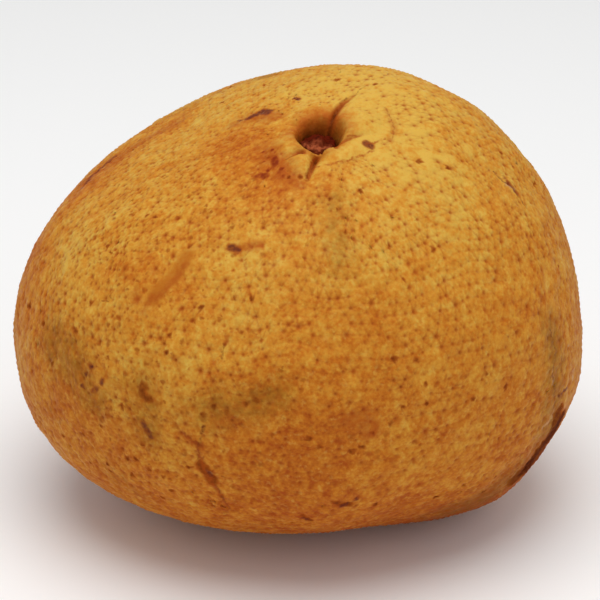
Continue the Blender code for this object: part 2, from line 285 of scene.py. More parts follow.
def body_radius(directions, body):
    """Distance from the core to the smooth body: a superellipse from crown to base, plus the swells."""
    lean = math.radians(body.lean)
    along = directions[:, 2] * math.cos(lean) - directions[:, 1] * math.sin(lean)
    across = directions[:, 1] * math.cos(lean) + directions[:, 2] * math.sin(lean)
    upper = along > 0
    reach = np.where(upper, body.crown_height, body.base_depth)
    fullness = np.where(upper, body.crown_fullness, body.base_fullness)
    level = np.hypot(directions[:, 0] / body.half_width, across / body.half_depth)
    radius = (level**fullness + np.abs(along / reach) ** fullness) ** (-1 / fullness)
    for azimuth, elevation, spread, height in SWELLS.values():
        off = np.degrees(angles_from(directions, aim(azimuth, elevation)))
        radius += height * np.exp(-((off / spread) ** 2))
    return radius


def stem_radius(body):
    return float(body_radius(STEM[None, :], body)[0])


def waves(directions, body, count, lengths, height, seed):
    """Unevenness: the sum of seeded sine waves of equal height that cross the body in all directions."""
    rng = np.random.default_rng(seed)
    lengths = rng.uniform(*lengths, count)
    headings = unit(rng.normal(size=(count, 3)))
    phases = rng.uniform(0, 2 * math.pi, count)
    turns = directions @ headings.T * body.half_depth / lengths
    return height * np.sin(2 * math.pi * turns + phases).sum(axis=1)


def around_stem(directions, reach):
    """Places round the stem, laid flat: metres to the right and towards the back."""
    off = angles_from(directions, STEM)
    right, back = directions @ STEM_RIGHT, directions @ STEM_BACK
    scale = off * reach / np.maximum(np.hypot(right, back), 1e-9)
    return np.stack([right * scale, back * scale], axis=1)


def crease_line(start, bend, end):
    """Places along a crease, a quadratic curve from start to end drawn towards bend, and how far along."""
    t = np.linspace(0, 1, CREASE_SAMPLES)[:, None]
    corners = np.array([start, bend, end]) * MM
    return (1 - t) ** 2 * corners[0] + 2 * t * (1 - t) * corners[1] + t**2 * corners[2], t[:, 0]


def creases(places):
    """Depth of the creases: a sharp valley with rounded lips along each line, fading out at its far end."""
    depth = np.zeros(len(places))
    near = np.linalg.norm(places, axis=1) < CREASES_REACH
    for start, bend, end, full_depth, half_width in CREASES.values():
        line, along = crease_line(start, bend, end)
        gaps = np.linalg.norm(places[near][:, None, :] - line[None, :, :], axis=2)
        nearest = gaps.argmin(axis=1)
        gap = gaps.min(axis=1)
        valley = full_depth * (1 - along[nearest] ** 2) * np.exp(-gap / half_width)
        depth[near] = np.maximum(depth[near], valley)
    return depth


def lips(places):
    """Height of the puffy lips, a round swell for each."""
    height = np.zeros(len(places))
    for middle, reach, full_height in LIPS.values():
        off = np.linalg.norm(places - np.array(middle) * MM, axis=1)
        height += full_height * np.exp(-((off / reach) ** 2))
    return height


def basin_mask(places, body):
    """1 on the basin's floor and 0 outside its rim, which drifts out to one side."""
    off = np.linalg.norm(places, axis=1)
    side = np.arctan2(places[:, 1], places[:, 0]) - math.radians(RIM_DRIFT_SIDE)
    return 1 - smooth_step(off, body.floor_radius, body.rim_radius + RIM_DRIFT * np.cos(side))


def plane_radius(directions, level):
    """Distance from the core to a plane across the stem's axis, that far out along the axis."""
    return level / np.maximum(directions @ STEM_AXIS, 0.1)


def wrinkles(turn):
    """Wrinkles round the basin's wall, from -1 to 1.

    They are a wave round the stem that two slower waves hurry and hold back. It fades out in five places."""
    hurried = WALL_WRINKLES * turn + 2.6 * np.sin(3 * turn + 1) + 1.7 * np.sin(7 * turn)
    return np.sin(hurried) * np.cos(2.5 * turn) ** 2


def skin(directions, body, stem):
    """Distance from the core to the skin without pores, masks of folds and basin, and places round the stem.

    The distance is the body's, plus waves and lips, less creases. It is drawn to a plane on the basin's
    floor, wrinkled on the wall, and drawn to a deeper plane in the button's seat."""
    reach = stem_radius(body)
    places = around_stem(directions, reach)
    fold = creases(places)
    radius = body_radius(directions, body) + waves(directions, body, *SLOW_WAVES)
    radius += waves(directions, body, *QUICK_WAVES) + lips(places) - fold
    inside = basin_mask(places, body)
    floor_level = STEM * (reach - body.basin_depth) @ STEM_AXIS
    radius += (plane_radius(directions, floor_level) - radius) * inside
    turn = np.arctan2(places[:, 1], places[:, 0])
    wall = 4 * inside * (1 - inside)
    radius += WRINKLE_HEIGHT * wall * wrinkles(turn)
    rel = directions * radius[:, None] - STEM * (reach - body.basin_depth)
    off_axis = np.linalg.norm(rel - (rel @ STEM_AXIS)[:, None] * STEM_AXIS, axis=1)
    seat = inside * (1 - smooth_step(off_axis, *(stem.radius + SEAT_EDGE)))
    radius += (plane_radius(directions, floor_level - stem.seat_depth) - radius) * seat
    return radius, np.clip(fold / FULL_FOLD, 0, 1), inside, places


def turned_thirds(directions, faces):
    """One round of finer faces: a vertex in each face's middle, and old edges turned to join the middles."""
    count = len(directions)
    middles = unit(directions[faces].mean(axis=1))
    start = faces.ravel()
    end = np.roll(faces, -1, axis=1).ravel()
    face = np.repeat(np.arange(len(faces)), 3)
    key = start * count + end
    order = np.argsort(key)
    across = face[order[np.searchsorted(key[order], end * count + start)]]
    thirds = np.stack([start, count + across, count + face], axis=1)
    return np.concatenate([directions, middles]), thirds


def pored_ball(body):
    """A ball whose first vertices are the pores, each with a ring of six of the last ones for its shoulder.

    The pores start in the even rows of an icosphere. Slow waves bend the rows, and each pore also shifts by
    itself."""
    ball = bmesh.new()
    bmesh.ops.create_icosphere(ball, subdivisions=BALL_LEVEL, radius=1)
    directions = np.array([vertex.co for vertex in ball.verts])
    faces = np.array([[vertex.index for vertex in face.verts] for face in ball.faces])
    ball.free()
    pore_count = len(directions)
    spacing = math.sqrt(4 * math.pi / pore_count)
    shifts = np.random.default_rng(PORE_SEED).uniform(-1, 1, directions.shape)
    bends = np.stack([waves(directions, body, *PORE_DRIFT, seed) for seed in DRIFT_SEEDS], axis=1)
    directions = unit(directions + shifts * spacing * PORE_SHIFT + bends / body.half_depth)
    directions, faces = turned_thirds(directions, faces)
    owners = faces[:, 0]
    directions, faces = turned_thirds(directions, faces)
    return directions, faces, pore_count, owners


def draw_to_stem(directions):
    """Directions moved towards the stem, and how much closer that puts them along and across the way there.

    The angle from the stem is made smaller by a share that falls off with the angle as a bell."""
    off = angles_from(directions, STEM)
    heading = unit(directions - np.cos(off)[:, None] * STEM)
    squeeze = DENSER_AT_STEM * np.exp(-((off / DENSER_REACH) ** 2))
    closer = off * (1 - squeeze)
    along = 1 - squeeze * (1 - 2 * (off / DENSER_REACH) ** 2)
    across = np.sin(closer) / np.maximum(np.sin(off), 1e-6)
    moved = np.cos(closer)[:, None] * STEM + np.sin(closer)[:, None] * heading
    return unit(moved), along, across


def pore_relief(directions, along, across, pore_count, owners, body):
    """Directions with each pore's shoulder at its radius, the pores' depth and a 0 to 1 mask of them.

    A pore is a dimple: its middle is at the full depth, its shoulder at a share of it, and the skin between
    pores is domed a little. Where the mesh is finer, fewer pores are open, so they stay as far apart."""
    rng = np.random.default_rng(PORE_SEED)
    is_open = rng.random(pore_count) < OPEN_PORES * (along * across)[:pore_count]
    faintest, middling, darkest, unevenness = PORE_TONES
    tone = faintest + middling * rng.random(pore_count)
    tone += (darkest - tone) * rng.random(pore_count) ** unevenness
    tone = np.where(is_open, tone, 0)
    strength = np.where(is_open, PALE_DEPTH + (1 - PALE_DEPTH) * tone, 0)
    spacing = math.sqrt(4 * math.pi / pore_count) * np.minimum(along, across)[:pore_count]
    wide = body.pore_radius / body.half_depth * rng.uniform(*PORE_SIZES, pore_count)
    radius = np.minimum(wide, WIDEST_SHARE * spacing)
    ring = slice(len(directions) - len(owners), None)
    away = directions[ring] - directions[owners]
    size = np.linalg.norm(away, axis=1, keepdims=True)
    directions = directions.copy()
    directions[ring] = unit(directions[owners] + away / size * radius[owners, None])
    depth = np.full(len(directions), -DOME_HEIGHT)
    mask = np.zeros(len(directions))
    narrow = np.clip(radius / wide, 0, 1)
    depth[:pore_count] = body.pore_depth * strength * narrow
    depth[ring] = SHOULDER_SHARE * depth[owners]
    mask[:pore_count] = tone
    mask[ring] = SHOULDER_TONE * tone[owners]
    return directions, depth, mask


def add_piece(name, points, faces, node, material):
    """A mesh from whole arrays, made a piece of the part that stands for a node of the frame."""
    mesh = bpy.data.meshes.new(name)
    mesh.vertices.add(len(points))
    mesh.vertices.foreach_set("co", points.astype(np.float32).ravel())
    mesh.loops.add(faces.size)
    mesh.loops.foreach_set("vertex_index", faces.astype(np.int32).ravel())
    mesh.polygons.add(len(faces))
    mesh.polygons.foreach_set("loop_start", np.arange(0, faces.size, faces.shape[1], dtype=np.int32))
    mesh.update(calc_edges=True)
    mesh.validate()
    mesh.shade_smooth()
    mesh.materials.append(material)
    piece = bpy.data.objects.new(name, mesh)
    bpy.context.scene.collection.objects.link(piece)
    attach(piece, "root")
    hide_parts(node)
    return piece


def set_mask(piece, name, values):
    """A mask for the materials, one number for each vertex."""
    mask = piece.data.attributes.new(name, "FLOAT", "POINT")
    mask.data.foreach_set("value", np.clip(values, 0, 1).astype(np.float32))


class MaterialWriter:
    """Short words for making a node tree."""

    def __init__(self, tree):
        self.tree = tree

    def node(self, kind, **settings):
        node = self.tree.nodes.new(kind)
        for key, value in settings.items():
            setattr(node, key, value)
        return node

    def put(self, socket, value):
        if isinstance(value, bpy.types.NodeSocket):
            self.tree.links.new(value, socket)
        elif socket.type == "RGBA":
            socket.default_value = (*value, 1)
        else:
            socket.default_value = value

    def mask(self, name):
        return self.node("ShaderNodeAttribute", attribute_name=name).outputs["Fac"]

    def place(self):
        return self.node("ShaderNodeTexCoord").outputs["Object"]

    def noise(self, place, per_metre, detail=2.0, roughness=0.5, output="Fac"):
        node = self.node("ShaderNodeTexNoise")
        self.put(node.inputs["Vector"], place)
        self.put(node.inputs["Scale"], per_metre)
        self.put(node.inputs["Detail"], detail)
        self.put(node.inputs["Roughness"], roughness)
        return node.outputs[output]

    def math(self, operation, first, second=0.0):
        node = self.node("ShaderNodeMath", operation=operation)
        self.put(node.inputs[0], first)
        self.put(node.inputs[1], second)
        return node.outputs[0]

    def vector(self, operation, first, second=(0, 0, 0), output=0):
        node = self.node("ShaderNodeVectorMath", operation=operation)
        self.put(node.inputs[0], first)
        self.put(node.inputs[1], second)
        return node.outputs[output]

    def stretched(self, first, factor):
        """A vector times a number."""
        node = self.node("ShaderNodeVectorMath", operation="SCALE")
        self.put(node.inputs[0], first)
        self.put(node.inputs["Scale"], factor)
        return node.outputs[0]

    def total(self, *values):
        """The sum of pairs of a value and what it is multiplied by."""
        result = 0.0
        for value, factor in values:
            node = self.node("ShaderNodeMath", operation="MULTIPLY_ADD")
            self.put(node.inputs[0], value)
            self.put(node.inputs[1], factor)
            self.put(node.inputs[2], result)
            result = node.outputs[0]
        return result

    def spread(self, value, low, high, to_low=0.0, to_high=1.0):
        node = self.node("ShaderNodeMapRange", interpolation_type="SMOOTHSTEP")
        for socket, number in zip(node.inputs[:5], (value, low, high, to_low, to_high)):
            self.put(socket, number)
        return node.outputs[0]

    def mix(self, factor, first, second):
        node = self.node("ShaderNodeMix", data_type="RGBA")
        self.put(node.inputs[0], factor)
        self.put(node.inputs[6], first)
        self.put(node.inputs[7], second)
        return node.outputs[2]

    def ramp(self, value, stops):
        """A row of colours, each at its own value."""
        node = self.node("ShaderNodeValToRGB")
        self.put(node.inputs[0], value)
        elements = node.color_ramp.elements
        while len(elements) < len(stops):
            elements.new(0.5)
        for element, (position, tone) in zip(elements, stops):
            element.position = position
            element.color = (*tone, 1)
        return node.outputs[0]

    def unsettled(self, place, per_metre, detail, roughness, reach):
        """A place moved about by noise, by half of a reach at most."""
        noise = self.noise(place, per_metre, detail, roughness, "Color")
        shift = self.vector("SUBTRACT", noise, (0.5, 0.5, 0.5))
        return self.vector("ADD", place, self.stretched(shift, reach))

    def bump(self, height, distance, strength=1.0):
        node = self.node("ShaderNodeBump")
        self.put(node.inputs["Height"], height)
        self.put(node.inputs["Distance"], distance)
        self.put(node.inputs["Strength"], strength)
        return node.outputs[0]

    def group(self, group, **inputs):
        node = self.node("ShaderNodeGroup", node_tree=group)
        for key, value in inputs.items():
            self.put(node.inputs[key.replace("_", " ")], value)
        return node.outputs[0]


def new_material(name, finish):
    """A material, its writer and its shader's inputs, of which the even ones are set from a table."""
    material = bpy.data.materials.new(name)
    material.use_nodes = True
    tree = material.node_tree
    inputs = tree.nodes["Principled BSDF"].inputs
    for label, value in finish.items():
        inputs[label].default_value = value
    return material, MaterialWriter(tree), inputs


def new_group(name, inputs):
    """An empty node group that puts out a mask. Inputs with a default are numbers, the rest are vectors."""
    group = bpy.data.node_groups.new(name, "ShaderNodeTree")
    for label, default in inputs.items():
        kind = "NodeSocketVector" if default is None else "NodeSocketFloat"
        socket = group.interface.new_socket(label, in_out="INPUT", socket_type=kind)
        if default is not None:
            socket.default_value = default
    group.interface.new_socket("Mask", in_out="OUTPUT", socket_type="NodeSocketFloat")
    write = MaterialWriter(group)
    return group, write, write.node("NodeGroupInput").outputs, write.node("NodeGroupOutput").inputs[0]


def ragged_group():
    """Makes a field's soft edge ragged: noise is added, and the sum is cut off round a half and mottled."""
    inputs = {"Place": None, "Field": 0.0, "Grain": 600.0, "Ragged": 0.5, "Edge": 0.15}
    group, write, given, out = new_group("Ragged stain", inputs)
    coarse = write.math("SUBTRACT", write.noise(given["Place"], given["Grain"], 3.0, 0.6), 0.5)
    field = write.total((given["Field"], 1.0), (coarse, given["Ragged"]))
    low = write.math("SUBTRACT", 0.5, given["Edge"])
    high = write.math("ADD", 0.5, given["Edge"])
    mottle = write.noise(given["Place"], write.math("MULTIPLY", given["Grain"], 1.9), 2.0)
    mottled = write.spread(mottle, 0.3, 0.6, 0.55, 1.0)
    write.put(out, write.math("MULTIPLY", write.spread(field, low, high), mottled))
    return group


# What moves a place about: noise per metre, its detail and roughness, and the reach.
FRECKLE_SHIFT = (1100.0, 1.0, 0.5, 1.1 * MM)
LINE_SHIFT = (700.0, 2.0, 0.6, 1.4 * MM)


def freckle_group():
    """Freckles: the cells of a point pattern, cut off near their points, in some of the cells."""
    inputs = {"Place": None, "Per metre": 400.0, "Share": 0.4, "Size": 0.25}
    group, write, given, out = new_group("Freckles", inputs)
    cells = write.node("ShaderNodeTexVoronoi", feature="F1")
    write.put(cells.inputs["Vector"], write.unsettled(given["Place"], *FRECKLE_SHIFT))
    write.put(cells.inputs["Scale"], given["Per metre"])
    tone = write.node("ShaderNodeSeparateColor")
    write.put(tone.inputs[0], cells.outputs["Color"])
    chosen = write.math("LESS_THAN", tone.outputs[0], given["Share"])
    size = write.math("MULTIPLY", given["Size"], write.math("ADD", tone.outputs[1], 0.5))
    spot = write.spread(cells.outputs["Distance"], size, write.math("MULTIPLY", size, 0.2))
    write.put(out, write.math("MULTIPLY", spot, chosen))
    return group


def line_group():
    """A thin line from one point to another: 1 on it, 0 at its half width from it."""
    inputs = {"Place": None, "Start": None, "End": None, "Half width": 0.3 * MM}
    group, write, given, out = new_group("Thin line", inputs)
    run = write.vector("SUBTRACT", given["End"], given["Start"])
    rel = write.vector("SUBTRACT", given["Place"], given["Start"])
    along = write.vector("DOT_PRODUCT", rel, run, 1)
    share = write.math("DIVIDE", along, write.vector("DOT_PRODUCT", run, run, 1))
    share = write.math("MAXIMUM", write.math("MINIMUM", share, 1.0), 0.0)
    gap = write.vector("LENGTH", write.vector("SUBTRACT", rel, write.stretched(run, share)), output=1)
    write.put(out, write.spread(gap, given["Half width"], 0.0))
    return group


# Mottle of the skin: noise per metre and its weight in the colour's depth, and what is then taken away.
MOTTLE = {"wide": (42, 0.35), "middling": (150, 0.55), "fine": (480, 0.95), "grain": (1500, 0.75)}
MOTTLE_LESS = -1.3
SKIN_STOPS = {"straw": 0.0, "golden": 0.33, "orange": 0.66, "rust": 1.0}
# Painted glints: light grains that stand in for glints of light round the pores; noise per metre, where it
# starts and is full, and strength.
PAINTED_GLINTS = (900.0, 0.55, 0.75, 0.3)
# Freckles: cells per metre, the share that has one, its size in cells, strength and colour.
FRECKLES = ((900.0, 0.5, 0.36, 0.5, "rust"), (560.0, 0.55, 0.36, 0.7, "speck"))
# Smooth stains: mask, where it starts and is full, strength and colour.
PORE_STAINS = (("pore", 0.0, 0.6, 0.72, "rust"),)
UNDER_STAINS = (
    ("smooth", 0.05, 0.95, 0.8, "callus"),
    *((kind, 0.1, 0.5, 0.75, "rust") for kind in ("brown", "red", "dark", "hollow")),
)
# Over the rest: the basin darkened to its floor and the creases to their bottoms, partly dead skin and stain
# and partly painted shade in these hollows.
OVER_STAINS_AND_SHADE = (
    ("basin", 0.15, 0.8, 0.7, "brown"),
    ("basin", 0.6, 0.95, 1.0, "hollow"),
    ("fold", 0.12, 0.5, 0.9, "rust"),
    ("fold", 0.4, 0.85, 0.8, "brown"),
    ("fold", 0.75, 1.0, 0.6, "hollow"),
)
# Ragged stains: how ragged, then mask and colour, noise per metre, half width of the soft edge and strength.
RAGGED = 0.8
RAGGED_STAINS = (
    ("olive", 350.0, 0.45, 0.75),
    ("rust", 420.0, 0.4, 0.75),
    ("pale", 900.0, 0.3, 0.7),
    ("brown", 800.0, 0.3, 0.85),
    ("red", 800.0, 0.25, 0.92),
    ("dark", 900.0, 0.25, 0.9),
    ("hollow", 500.0, 0.25, 0.75),
)
# Fine relief: noise per metre and its weight, then the height of it all and its strength.
SKIN_RELIEF = ((800.0, 0.65), (2000.0, 0.35))
SKIN_BUMP = (0.3 * MM, 0.8)
# Roughness of living skin, from and to, and of dead skin.
LIVING_ROUGHNESS, DEAD_ROUGHNESS = (0.44, 0.58), 0.95
SKIN_FINISH = {
    "Specular IOR Level": 0.05,
    "Subsurface Weight": 0.06,
    "Subsurface Radius": (1.0, 0.45, 0.1),
    "Subsurface Scale": 0.8 * MM,
}
BUTTON_FINISH = {"Roughness": 0.8, "Specular IOR Level": 0.03}
FLOOR_FINISH = {"Roughness": 0.9}


def rind_material(rind, lines):
    """Straw to rust skin mottled at four scales, with freckles, rusty pores and the masks' marks."""
    material, write, shader = new_material("rind", SKIN_FINISH)
    ragged, freckles, thin = ragged_group(), freckle_group(), line_group()
    place = write.place()

    def stain(tone, mask, amount, shade):
        return write.mix(write.math("MULTIPLY", mask, amount), tone, getattr(rind, shade))

    def smooth_stains(tone, stains):
        for kind, low, high, amount, shade in stains:
            tone = stain(tone, write.spread(write.mask(kind), low, high), amount, shade)
        return tone

    mottle = {name: (write.noise(place, per_metre), weight) for name, (per_metre, weight) in MOTTLE.items()}
    depth = write.total((write.mask("orange"), 1.0), *mottle.values(), (1.0, MOTTLE_LESS))
    tone = write.ramp(depth, [(stop, getattr(rind, shade)) for shade, stop in SKIN_STOPS.items()])
    per_metre, low, high, amount = PAINTED_GLINTS
    tone = stain(tone, write.spread(write.noise(place, per_metre), low, high), amount, "painted_glint")
    for per_metre, share, size, amount, shade in FRECKLES:
        freckle = write.group(freckles, Place=place, Per_metre=per_metre, Share=share, Size=size)
        tone = stain(tone, write.math("MULTIPLY", freckle, write.mask("freckled")), amount, shade)
    tone = smooth_stains(tone, PORE_STAINS)
    bottom = write.total((write.mask("freckled"), 0.35), (1.0, 0.5))
    deep = write.math("MULTIPLY", write.spread(write.mask("pore"), 0.4, 1.0), bottom)
    tone = smooth_stains(stain(tone, deep, 0.95, "speck"), UNDER_STAINS)
    for kind, grain, edge, amount in RAGGED_STAINS:
        mask = write.group(ragged, Place=place, Field=write.mask(kind), Grain=grain, Ragged=RAGGED, Edge=edge)
        tone = stain(tone, mask, amount, kind)
    unsettled = write.unsettled(place, *LINE_SHIFT)
    broken = write.spread(write.noise(place, 1300.0), 0.3, 0.6, 0.35, 1.0)
    for kind, half_width, amount, points in lines:
        crack = 0.0
        for start, end in zip(points[:-1], points[1:]):
            part = write.group(thin, Place=unsettled, Start=start, End=end, Half_width=half_width)
            crack = write.math("MAXIMUM", part, crack)
        tone = stain(tone, write.math("MULTIPLY", crack, broken), amount, kind)
    # The wall's stain, then the basin and the creases darkened: dead skin and stain, and painted shade in
    # these hollows.
    tone = smooth_stains(stain(tone, write.mask("wall"), 0.7, "rust"), OVER_STAINS_AND_SHADE)
    write.put(shader["Base Color"], tone)
    living = write.spread(mottle["fine"][0], 0.3, 0.7, *LIVING_ROUGHNESS)
    dead_skin = write.math("MAXIMUM", write.mask("hollow"), write.mask("brown"))
    dead = write.spread(dead_skin, 0.1, 0.5, 0.0, DEAD_ROUGHNESS)
    write.put(shader["Roughness"], write.math("MAXIMUM", living, dead))
    relief = write.total(*((write.noise(place, per_metre), weight) for per_metre, weight in SKIN_RELIEF))
    write.put(shader["Normal"], write.bump(relief, *SKIN_BUMP))
    return material


def button_material(stem):
    """Dry red-brown bark, darker in patches, with lighter broken fibres in front, partly painted light on its
    lit near side.
    """
    material, write, shader = new_material("dry_stem", BUTTON_FINISH)
    place = write.place()
    patches = write.spread(write.noise(place, 900, 4, 0.65), 0.35, 0.7)
    bark = write.mix(patches, stem.bark, tuple(0.4 * part for part in stem.bark))
    streaks = write.spread(write.noise(place, 1400), 0.35, 0.6, 0.3, 1.0)
    fibre = write.math("MULTIPLY", write.mask("fibre"), streaks)
    write.put(shader["Base Color"], write.mix(fibre, bark, stem.fibre))
    write.put(shader["Normal"], write.bump(write.noise(place, 2500, 4, 0.65), 0.08 * MM))
    return material


# How the camera sees: to its right, upwards in its picture, and from the fruit towards it.
SEEN_RIGHT = np.array([1.0, 0, 0])
TOWARDS_CAMERA = aim(-90, VIEW_ELEVATION)
SEEN_UP = np.cross(TOWARDS_CAMERA, SEEN_RIGHT)
CAMERA_AIM = CORE + SEEN_RIGHT * AIM_RIGHT - SEEN_UP * AIM_DOWN
CAMERA_PLACE = CAMERA_AIM + TOWARDS_CAMERA * CAMERA_DISTANCE

# Broad patches: kind, reach in millimetres, strength (below 0 it is taken away) and pixels along the middle.
PATCHES = {
    "yellow right of the basin": ("orange", 11, -0.22, ((400, 150), (440, 200), (455, 250))),
    "yellow crown": ("orange", 9, -0.15, ((250, 90), (330, 80), (420, 95))),
    "yellow left edge": ("orange", 7, -0.1, ((95, 215), (70, 260))),
    "yellow left middle": ("orange", 8, -0.1, ((60, 265), (110, 330), (175, 385))),
    "yellow low left": ("orange", 9, -0.1, ((110, 400), (170, 440))),
    "red left of the basin": ("orange", 9, 0.36, ((235, 150), (262, 165), (285, 185))),
    "pale left lip": ("orange", 2.8, -0.36, ((288, 140), (294, 148), (300, 161), (304, 166))),
    "light left": ("orange", 15, -0.1, ((100, 230), (170, 190), (220, 230), (150, 330))),
    "light upper left": ("orange", 9, -0.12, ((200, 130), (240, 100), (280, 95))),
    # Painted shade: an olive darkening where the bottom right falls into shade.
    "olive painted shade at the bottom right": ("olive", 8, 0.62, ((450, 512), (485, 498), (512, 478))),
    "brown upper left": ("orange", 6, 0.24, ((170, 126), (120, 158), (85, 185))),
    "red round the smooth scar": ("orange", 8, 0.16, ((190, 250), (160, 290))),
    "deep lower middle": ("orange", 12, 0.04, ((330, 440), (400, 430), (440, 480))),
    "light left middle": ("orange", 11, -0.12, ((130, 340), (190, 335), (230, 290))),
    # Painted shade: the left edge made deeper orange to darken it where light only grazes it.
    "painted shade on the left edge": ("orange", 8, 0.16, ((32, 260), (36, 320), (58, 385))),
    # Painted shade: the skin made deeper orange where the bottom right falls into shade.
    "painted shade at the bottom right": ("orange", 9, 0.22, ((440, 515), (490, 498), (520, 470))),
    "deep middle": ("orange", 11, 0.05, ((280, 280), (320, 310))),
    "deep right edge": ("orange", 8, 0.04, ((530, 300), (550, 370))),
    "freckled left": ("freckled", 20, 0.9, ((90, 240), (170, 260), (130, 330))),
    "freckled upper left": ("freckled", 14, 0.6, ((150, 170), (230, 190))),
    "freckled lower left": ("freckled", 16, 0.8, ((70, 400), (120, 440), (180, 470))),
    "freckled low middle": ("freckled", 15, 0.8, ((230, 400), (330, 430), (430, 400))),
    "olive left": ("olive", 6.5, 0.52, ((52, 335), (80, 370), (92, 392))),
    "olive lower left": ("olive", 5, 0.5, ((142, 390), (150, 432))),
    "olive low middle": ("olive", 5, 0.56, ((206, 412), (240, 405), (275, 396))),
    "olive below the basin": ("olive", 3.5, 0.36, ((336, 205), (336, 262))),
    "olive right edge": ("olive", 5, 0.62, ((552, 330), (556, 380), (548, 425))),
    "olive foot": ("olive", 5, 0.3, ((110, 470), (130, 488))),
}

# Stains and spots: kind, reach in millimetres, strength, and pixels along the middle.
STROKES = {
    "band on the upper left": ("rust", 2.6, 0.62, ((176, 124), (142, 141), (107, 166), (82, 184))),
    "stain under the streak": ("rust", 2.4, 0.74, ((232, 124), (252, 118), (276, 116))),
    "streak left of the basin": ("dark", 1.0, 0.9, ((250, 117), (262, 111), (267, 112))),
    "scab on the streak": ("pale", 0.35, 0.75, ((261, 113), (264, 112))),
    "stain left of the basin": ("rust", 3.4, 0.74, ((262, 150), (276, 160), (292, 178))),
    "red spot by the basin": ("red", 0.75, 1.0, ((274, 159), (276, 163))),
    "red spots below it": ("red", 0.68, 1.0, ((259, 175), (266, 176))),
    "smooth scar": ("smooth", 1.7, 1.0, ((187, 256), (176, 272), (164, 286), (153, 297))),
    "edge of the smooth scar": ("rust", 0.9, 0.8, ((188, 262), (178, 276), (166, 290), (156, 299))),
    "tail of the smooth scar": ("rust", 1.0, 0.75, ((153, 297), (142, 311))),
    "beside the smooth scar": ("rust", 1.3, 0.7, ((138, 292), (136, 300))),
    "dark patch left of the middle": ("dark", 0.8, 0.8, ((230, 247), (238, 250))),
    "red tail of that patch": ("rust", 1.2, 0.7, ((244, 247), (258, 245))),
    "blotch of the crack": ("brown", 1.2, 0.9, ((202, 466), (208, 474), (213, 482))),
    "dead skin in the blotch": ("dark", 0.6, 0.85, ((206, 471), (211, 477))),
    "scab of the crack": ("pale", 0.3, 0.75, ((205, 470), (211, 474))),
    "edge scar": ("brown", 5.0, 1.0, ((554, 431), (546, 444), (537, 456))),
    "upper end of the edge scar": ("brown", 2.0, 0.95, ((559, 412), (555, 424))),
    "lower end of the edge scar": ("brown", 3.0, 0.95, ((534, 459), (525, 470), (518, 477))),
    "dead skin in the edge scar": ("hollow", 3.2, 0.95, ((558, 424), (549, 437), (539, 451), (529, 466))),
    "rim of the edge scar": ("pale", 0.35, 0.8, ((554, 409), (553, 417), (541, 431), (534, 440))),
    "hook above the edge scar": ("dark", 0.5, 0.85, ((567, 388), (563, 392), (560, 397))),
    "pale streak on the right edge": ("pale", 0.6, 0.9, ((574, 372), (573, 380))),
    "second pale streak there": ("pale", 0.45, 0.85, ((554, 376), (554, 384))),
    "rust blotch low in the middle": ("rust", 2.3, 0.72, ((346, 423), (362, 419), (373, 430))),
    "heart of the blotch": ("rust", 1.3, 0.9, ((367, 436), (376, 427))),
    "dark spot in the blotch": ("red", 0.55, 0.9, ((369, 434), (371, 434))),
    "dark streak below the blotch": ("brown", 0.45, 0.72, ((359, 446), (364, 447))),
    "rust dot above the blotch": ("rust", 0.75, 0.9, ((366, 409), (366, 411))),
    "rust dot left of the blotch": ("rust", 0.75, 0.9, ((339, 440), (339, 442))),
    "rust dots below the blotch": ("rust", 0.7, 0.9, ((371, 454), (371, 457))),
    "rust dots right of them": ("rust", 0.75, 0.9, ((392, 458), (393, 462))),
    "rust dot further right": ("rust", 0.75, 0.9, ((415, 462), (415, 464))),
    "rust mark on the right": ("rust", 0.9, 0.9, ((425, 430), (425, 437))),
    "dark mark low left": ("brown", 0.9, 0.85, ((143, 384), (142, 394), (148, 399))),
    "mark below it": ("dark", 0.9, 0.6, ((143, 422), (146, 429), (151, 437))),
    "red stain on the right lip": ("rust", 0.9, 0.6, ((385, 110), (392, 119), (394, 130), (389, 141))),
    "grey scar on the right": ("dark", 0.6, 0.62, ((503, 178), (512, 187), (518, 193))),
    "its scab": ("pale", 0.4, 0.7, ((504, 183), (515, 190))),
    "dark oval by the basin": ("dark", 0.75, 0.9, ((366, 143), (371, 147))),
    "purple spot behind the basin": ("dark", 0.55, 0.85, ((295, 98), (299, 99))),
    "its scab behind the basin": ("pale", 0.3, 0.7, ((298, 100), (299, 100))),
    "purple spot on the crown": ("brown", 0.5, 0.75, ((335, 80), (339, 79))),
    "dark streak at the foot": ("brown", 0.7, 0.9, ((333, 503), (341, 504), (349, 505))),
    "second dark streak there": ("brown", 0.6, 0.85, ((303, 517), (311, 520))),
    "scab along the upper left edge": ("dark", 1.0, 0.62, ((82, 188), (92, 176), (104, 163), (113, 155))),
    "rust patch at the foot": ("rust", 4.5, 0.56, ((260, 520), (330, 522), (390, 512))),
}

# Dead skin wider than this reach, in millimetres, ends at a crisp edge: its field falls with a higher power.
CRISP_KINDS, CRISP_REACH, CRISP_FALL = ("brown", "hollow"), 1.9, 4

